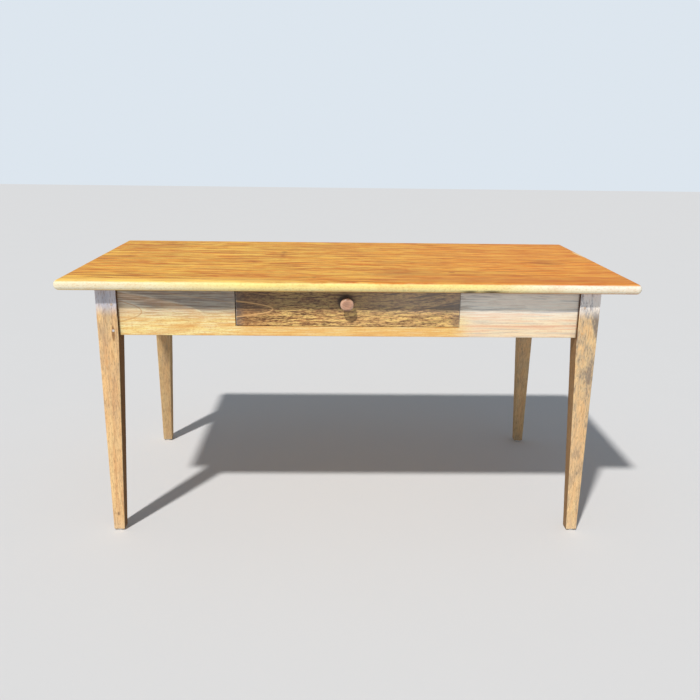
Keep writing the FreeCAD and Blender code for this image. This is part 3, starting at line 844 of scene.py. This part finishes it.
def frontApronFinish(here):
    bench = here.bench
    # the panel right of the drawer is pale, the one left of it has long bows of grain
    toLeft = here.x.rise(-0.25, -0.36)
    toRight = here.x.rise(0.28, 0.36)
    here.paint(toRight * 0.75, linear(252, 233, 208))
    apronFinish(here)
    # short fine lines all over, yellow in the sound finish, and grey and pale in the painted shade under the
    # top
    dash = bench.grainNoise(here.x * 14.0, 1.0, here.z * 330.0, 3.0, 0.6)
    sound = (1.0 - here.haze.low(1.0) * 0.8) * (1.0 - toRight * 0.6)
    here.paint(dash.rise(0.52, 0.58) * sound * 0.45, linear(230, 158, 80))
    here.paint(dash.rise(0.48, 0.42) * sound * 0.5, linear(255, 242, 190))
    here.paint(dash.rise(0.51, 0.60) * here.haze * (0.6 - toRight * 0.45), linear(106, 98, 94))
    here.paint(dash.rise(0.48, 0.40) * here.haze * 0.5, linear(244, 240, 230))
    fleck = bench.grainNoise(here.x * 130.0, 1.0, here.z * 300.0, 2.0, 0.6)
    here.paint(fleck.rise(0.53, 0.62) * sound * 0.35, linear(214, 146, 80))
    inner = grainBow(here, -0.576, 0.672, 70.0)
    outer = grainBow(here, -0.400, 0.655, 44.0)
    # a grey wedge beyond the outer bow of grain, whose grey high on the panel is painted shade
    slate = outer.rise(0.0, 2.5 * mm) * here.z.rise(0.664, 0.682) * toLeft
    here.paint(slate * 0.5, linear(124, 116, 112))
    warm = outer.rise(0.0, -6.0 * mm) * outer.rise(-40.0 * mm, -10.0 * mm) * toLeft
    here.paint(warm * 0.3, linear(222, 160, 96))
    here.paint(inner.rise(0.0, -8.0 * mm) * toLeft * 0.25, linear(240, 190, 128))
    here.paint(inner.bell(1.6 * mm) * toLeft * 0.65, linear(196, 138, 84))
    gentle = here.z - 0.7224 + (here.x + 0.4977) * 0.137 + here.fine * 0.004
    here.paint(gentle.bell(1.3 * mm) * toLeft * 0.4, linear(206, 170, 130))
    # pink streaks and grey ones on the pale panel; the pink is strongest low down and the grey strongest high
    # up, where it is painted shade
    line = bench.grainNoise(here.x * 6.0 + 5.0, here.y * 30.0, here.z * 190.0 + here.slow * 4.0, 4.0, 0.66)
    pink = here.z.rise(0.70, 0.66) * 0.35 + 0.1
    here.paint(line.rise(0.52, 0.60) * toRight * pink, linear(232, 170, 134))
    shade = here.z.rise(0.66, 0.70) * 0.25 + 0.3
    here.paint(line.rise(0.47, 0.39) * toRight * shade, linear(150, 154, 162))
    pinkLine = (here.z - 0.6395 - here.slow * 0.02).bell(2.2 * mm) * (here.blotch + 0.3)
    pinkLine = pinkLine * (here.x.rise(0.38, 0.58) * 0.65 + 0.35)
    here.paint(pinkLine * toRight * 0.75, linear(222, 140, 112))
    wave = (here.z - 0.683 - here.slow * 0.06).bell(2.6 * mm) * here.x.rise(0.46, 0.56)
    here.paint(wave * 0.5, linear(150, 158, 176))
    # the strip under the drawer is the most orange
    rail = abs(here.x).rise(0.34, 0.28) * here.z.rise(drawerLow.z + 0.5 * mm, drawerLow.z - 1.5 * mm)
    here.paint(rail * 0.4, linear(240, 178, 100))
    ends = abs(here.x).rise(legInside[0] - 25.0 * mm, legInside[0]) * here.blotch.rise(0.3, 0.7)
    here.paint(ends * 0.4, linear(150, 128, 104))


apronColours = {
    "base": linear(255, 234, 154),
    "late": linear(246, 188, 108),
    "streaks": (
        (20.0 * mm, 600.0 * mm, 0.45, 0.58, linear(255, 236, 172), 0.6),
        (8.0 * mm, 300.0 * mm, 0.50, 0.58, linear(244, 188, 110), 0.5),
        (4.0 * mm, 180.0 * mm, 0.53, 0.60, linear(226, 158, 86), 0.45),
        (2.4 * mm, 60.0 * mm, 0.55, 0.63, linear(190, 124, 66), 0.45),
    ),
    "rubColour": linear(255, 236, 188),
    "grime": linear(126, 92, 62),
    "grimeShare": 0.25,
    "roughness": 0.44,
    "relief": 0.15 * mm,
}

dress("front_apron", woodMaterial(
    "frontApronWood", seed=2.0, legGap=legInside[0], pith=(-0.235, 0.668), lean=(0.1, 0.0), wander=5.0 * mm,
    ringWidth=11.0 * mm, ringShare=0.35, hazeShare=1.0, finish=frontApronFinish, **apronColours))
dress("rear_apron", woodMaterial(
    "rearApronWood", seed=5.1, legGap=legInside[0], pith=(0.42, 0.66), lean=(0.03, 0.01), ringWidth=6.0 * mm,
    finish=apronFinish, **apronColours))
dress("left_apron", woodMaterial(
    "leftApronWood", grain="Y", seed=8.3, legGap=legInside[1], pith=(0.66, -0.60), lean=(0.02, 0.04),
    ringWidth=6.0 * mm, finish=apronFinish, **apronColours))
dress("right_apron", woodMaterial(
    "rightApronWood", grain="Y", seed=11.9, legGap=legInside[1], pith=(0.68, 0.60), lean=(0.02, 0.05),
    ringWidth=6.0 * mm, finish=apronFinish, **apronColours))
print("stage: aprons dressed")


# Drawer

knobLow, knobHigh = [Vector(place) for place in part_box("drawer_knob")]
knobCentre = (knobLow + knobHigh) / 2


def drawerFrontFinish(here):
    bench = here.bench
    # lighter towards the right, with short golden flames
    here.paint(here.x.rise(-0.14, 0.06) * 0.55, linear(236, 188, 128))
    flame = bench.grainNoise(here.x * 26.0, here.y * 30.0, here.z * 280.0 - here.x * 8.0, 5.0, 0.7)
    lit = flame.rise(0.49, 0.56) * (here.x + here.blotch * 0.1).rise(-0.26, -0.12)
    here.paint(lit * 0.85, linear(255, 214, 132))
    here.paint(flame.rise(0.47, 0.40) * 0.65, linear(104, 74, 50))
    fleck = bench.grainNoise(here.x * 90.0, 2.0, here.z * 300.0, 3.0, 0.65)
    here.paint(fleck.rise(0.53, 0.60) * 0.55, linear(70, 50, 36))
    here.paint(fleck.rise(0.46, 0.40) * 0.35, linear(250, 206, 136))
    # one arched line at the left end, browner inside
    arch = grainBow(here, -0.214, 0.681, 200.0)
    here.paint(arch.rise(0.0, -10.0 * mm) * 0.35, linear(132, 98, 72))
    # dark streaks climb to the right end, and a dark ring is painted round the knob, a little up and to the
    # left of it
    climb = bench.grainNoise(here.x * 5.5, 3.0, here.z * 80.0 - here.x * 15.0, 4.0, 0.62)
    rightHalf = here.x.rise(0.0, 0.14)
    upper = here.z.rise(0.665, 0.695) * 0.6 + 0.4
    here.paint(climb.rise(0.51, 0.57) * rightHalf * upper * 0.8, linear(70, 58, 50))
    roundX = here.x - knobCentre.x + 4.0 * mm
    roundZ = here.z - knobCentre.z - 2.0 * mm
    knobRing = (roundX * roundX + roundZ * roundZ).root() + here.blotch * 0.010
    here.paint(knobRing.rise(33.0 * mm, 22.0 * mm) * 0.85, linear(44, 32, 22))
    # the ends are greyed where hands and water reached
    leftEnd = here.x - drawerLow.x
    rightEnd = drawerHigh.x - here.x
    grey = leftEnd.rise(30.0 * mm, 0.0).high(rightEnd.rise(42.0 * mm, 0.0) * 0.6)
    here.paint(grey * 0.5, linear(124, 116, 110))
    # painted shade under the top, darker on the left
    haze = bench.mix(here.x.rise(-0.05, 0.2), linear(80, 76, 74), linear(156, 148, 142))
    here.paint(here.z.rise(0.655, 0.70) * 0.55, haze)
    archLine = arch.bell(1.6 * mm) * here.blotch.rise(0.1, 0.4)
    here.paint(archLine * 0.9, linear(222, 176, 120))
    # painted highlight along the two end edges
    wearAndHighlight = leftEnd.rise(1.5 * mm, 0.2 * mm).high(rightEnd.rise(1.2 * mm, 0.2 * mm))
    here.paint(wearAndHighlight * 0.75, linear(206, 200, 194))


dress("drawer_front", woodMaterial(
    "drawerFrontWood", seed=3.3, pith=(-0.2787, 0.683), lean=(0.02, 0.0), wander=5.0 * mm, ripple=1.5 * mm,
    curl=1.2 * mm, base=linear(196, 142, 90), late=linear(118, 80, 50), ringWidth=8.0 * mm, ringShare=0.35,
    streaks=(
        (14.0 * mm, 200.0 * mm, 0.47, 0.57, linear(220, 160, 98), 0.6),
        (7.0 * mm, 110.0 * mm, 0.50, 0.57, linear(116, 80, 52), 0.7),
        (3.5 * mm, 50.0 * mm, 0.53, 0.60, linear(74, 52, 36), 0.65),
    ),
    rubColour=linear(222, 186, 136), grime=linear(66, 50, 38), grimeShare=0.45, roughness=0.40,
    relief=0.18 * mm, finish=drawerFrontFinish))

boxColours = {
    "base": linear(212, 176, 128),
    "late": linear(170, 128, 84),
    "streaks": (
        (18.0 * mm, 260.0 * mm, 0.50, 0.70, linear(190, 148, 100), 0.5),
        (5.0 * mm, 110.0 * mm, 0.54, 0.72, linear(150, 112, 76), 0.45),
    ),
    "grime": linear(110, 86, 62),
    "roughness": 0.62,
    "relief": 0.2 * mm,
}
boxPieces = (
    ("drawer_left_side", "leftSideWood", "Y", (0.60, -0.33)),
    ("drawer_right_side", "rightSideWood", "Y", (0.61, 0.34)),
    ("drawer_back", "drawerBackWood", "X", (0.20, 0.62)),
    ("drawer_bottom", "drawerBottomWood", "X", (0.0, 0.56)),
)
for index, (node, name, grain, pith) in enumerate(boxPieces):
    dress(node, woodMaterial(name, grain=grain, seed=index + 1.0, pith=pith, **boxColours))


def knobFinish(here):
    # the face is darker in the middle, a painted highlight makes the rim paler, and painted shade darkens the
    # top and bottom of the rim and the neck behind the head
    reachX = here.x - knobCentre.x
    reachZ = here.z - knobCentre.z
    reach = (reachX * reachX + reachZ * reachZ).root()
    here.paint(reach.rise(0.011, 0.003) * 0.35, linear(146, 112, 96))
    # painted highlight round the rim
    here.paint(reach.rise(0.012, 0.0155) * 0.4, linear(238, 200, 174))
    # painted shade on the top and bottom of the rim
    rim = reachZ.rise(-10.5 * mm, -15.5 * mm).high(reachZ.rise(11.5 * mm, 15.5 * mm)) * 0.8
    rim = rim.high(abs(here.normalZ).rise(0.35, 0.75) * 0.75)
    here.paint(rim, linear(100, 68, 48))
    # painted shade on the neck behind the head
    behind = here.y.rise(knobLow.y + 9.0 * mm, knobLow.y + 15.0 * mm)
    here.paint(behind * 0.7, linear(98, 64, 44))


dress("drawer_knob", woodMaterial(
    "knobWood", grain="Y", seed=6.0, pith=(0.715, 0.004), base=linear(206, 160, 134),
    late=linear(150, 102, 80), ringWidth=3.0 * mm, rubColour=linear(240, 206, 180), grime=linear(96, 68, 52),
    roughness=0.3, relief=0.05 * mm, finish=knobFinish))
print("stage: drawer dressed")


# Hidden pieces, fasteners and feet

innerColours = {
    "base": linear(176, 136, 92),
    "late": linear(132, 94, 60),
    "streaks": (
        (16.0 * mm, 240.0 * mm, 0.50, 0.70, linear(146, 108, 72), 0.5),
        (5.0 * mm, 100.0 * mm, 0.54, 0.72, linear(112, 80, 54), 0.45),
    ),
    "grime": linear(76, 58, 44),
    "grimeShare": 0.45,
    "roughness": 0.7,
    "relief": 0.3 * mm,
}
innerWood = woodMaterial("innerWoodAlongY", grain="Y", seed=7.0, pith=(0.58, 0.10), **innerColours)
innerWoodX = woodMaterial("innerWoodAlongX", seed=8.0, pith=(0.10, 0.58), **innerColours)
for side in ("left", "right"):
    for kind in ("runner", "guide", "kicker"):
        dress(side + "_" + kind, innerWood)
dress("drawer_stops", innerWood)
dress("top_buttons", innerWoodX)
dress("top_tongues", innerWoodX)


def pegFinish(here):
    # painted shade greys the pegs high on the legs under the top, and the lower peg of the front left leg is
    # bleached
    here.paint(here.z.rise(0.65, 0.69) * 0.8, linear(196, 182, 172))
    bleached = here.x.rise(-0.63, -0.65) * here.y.rise(-0.33, -0.35) * here.z.rise(0.66, 0.64)
    here.paint(bleached * 0.85, linear(206, 208, 214))


dress("tenon_pegs", woodMaterial(
    "pegWood", grain="Y", seed=9.0, pith=(0.4, 0.4), base=linear(232, 190, 138), late=linear(180, 130, 86),
    ringWidth=1.4 * mm, grime=linear(110, 80, 56), roughness=0.5, relief=0.08 * mm, finish=pegFinish))


def steelMaterial():
    bench = Bench(bpy.data.materials.new("oldSteel"))
    rust = bench.noise(bench.place(), 900.0, 4.0, 0.7).rise(0.45, 0.7)
    colour = bench.mix(rust, linear(136, 132, 126), linear(104, 70, 48))
    roughness = 0.38 + rust * 0.4
    return bench.surface(colour, roughness, rust, 0.05 * mm, {"Metallic": 0.85})


def glideMaterial():
    bench = Bench(bpy.data.materials.new("glidePlastic"))
    scuff = bench.noise(bench.place(), 420.0, 4.0, 0.7).rise(0.45, 0.75)
    colour = bench.mix(scuff, linear(252, 250, 244), linear(216, 210, 198))
    return bench.surface(colour, 0.45 + scuff * 0.3, scuff, 0.08 * mm, {"Specular IOR Level": 0.4})


oldSteel = steelMaterial()
glidePlastic = glideMaterial()
for node in ("guide_nails", "kicker_screws", "button_screws", "glide_nails", "bottom_nails"):
    dress(node, oldSteel)
for name in legAges:
    dress(name + "_glide", glidePlastic)
print("stage: fasteners and feet dressed")


# Floor, light and camera

floorLook = {
    "reach": 14.0,
    "colour": linear(214, 216, 220),
    "grain": linear(204, 206, 210),
    "gloss": 0.1,
}


def buildFloor():
    deselectAll()
    bpy.ops.mesh.primitive_plane_add(size=floorLook["reach"] * 2, location=(0.0, 0.0, 0.0))
    floor = bpy.context.active_object
    floor.name = "floor"
    bench = Bench(bpy.data.materials.new("floorPaint"))
    grain = bench.noise(bench.place(), 3.0, 2.0)
    colour = bench.mix(grain * 0.15, floorLook["colour"], floorLook["grain"])
    gloss = {"Specular IOR Level": floorLook["gloss"]}
    floor.data.materials.append(bench.surface(colour, grain * 0.1 + 0.8, grain, 0.1 * mm, gloss))


lightLook = {
    "sky": (0.84, 0.92, 1.0, 1.0),
    "skyLight": 0.31,
    "skySeen": 0.86,             # how bright the sky is behind the table
    "sunTowards": (0.331, 0.636, -1.0),
    "sunSpread": 3.0,
    "sunStrength": 3.15,
    "sunColour": (1.0, 0.955, 0.89),
}


def buildWorld():
    world = bpy.data.worlds.new("studio")
    bpy.context.scene.world = world
    bench = Bench(world)
    seen = bench.node("ShaderNodeLightPath", None, None, "Is Camera Ray")
    levels = {0: seen, 2: lightLook["skyLight"], 3: lightLook["skySeen"]}
    strength = bench.node("ShaderNodeMix", {"data_type": "FLOAT"}, levels)
    back = bench.node("ShaderNodeBackground", None, {"Color": lightLook["sky"], "Strength": strength})
    bench.node("ShaderNodeOutputWorld", None, {"Surface": back})


def buildSun():
    lamp = bpy.data.lights.new("keySun", "SUN")
    lamp.angle = math.radians(lightLook["sunSpread"])
    lamp.energy = lightLook["sunStrength"]
    lamp.color = lightLook["sunColour"]
    holder = bpy.data.objects.new("keySun", lamp)
    bpy.context.scene.collection.objects.link(holder)
    holder.rotation_euler = Vector(lightLook["sunTowards"]).to_track_quat("-Z", "Y").to_euler()


cameraLook = {                  # metres and radians, fitted to the photo
    "place": (-0.0480, -2.3780, 1.1561),
    "yaw": 0.02476,
    "pitch": 0.28335,
    "roll": 0.0132,
    "focalPixels": 749.75,
    "imagePixels": 700.0,
    "sensor": 36.0,
    "clip": (0.05, 100.0),
}


def buildCamera():
    look = cameraLook
    camera = bpy.data.cameras.new("camera")
    holder = bpy.data.objects.new("camera", camera)
    bpy.context.scene.collection.objects.link(holder)
    camera.sensor_width = look["sensor"]
    camera.lens = look["focalPixels"] / look["imagePixels"] * look["sensor"]
    camera.clip_start, camera.clip_end = look["clip"]
    yaw, pitch, roll = look["yaw"], look["pitch"], look["roll"]
    forward = Vector((math.sin(yaw) * math.cos(pitch), math.cos(yaw) * math.cos(pitch), -math.sin(pitch)))
    right = Vector((math.cos(yaw), -math.sin(yaw), 0.0))
    up = right.cross(forward)
    turned = math.cos(roll) * right + math.sin(roll) * up
    upright = math.cos(roll) * up - math.sin(roll) * right
    turn = Matrix((turned, upright, -forward)).transposed()
    holder.matrix_world = Matrix.Translation(look["place"]) @ turn.to_4x4()
    bpy.context.scene.camera = holder


buildFloor()
buildWorld()
buildSun()
buildCamera()
bpy.context.scene.view_settings.view_transform = "Standard"
print("stage: floor, light and camera set")
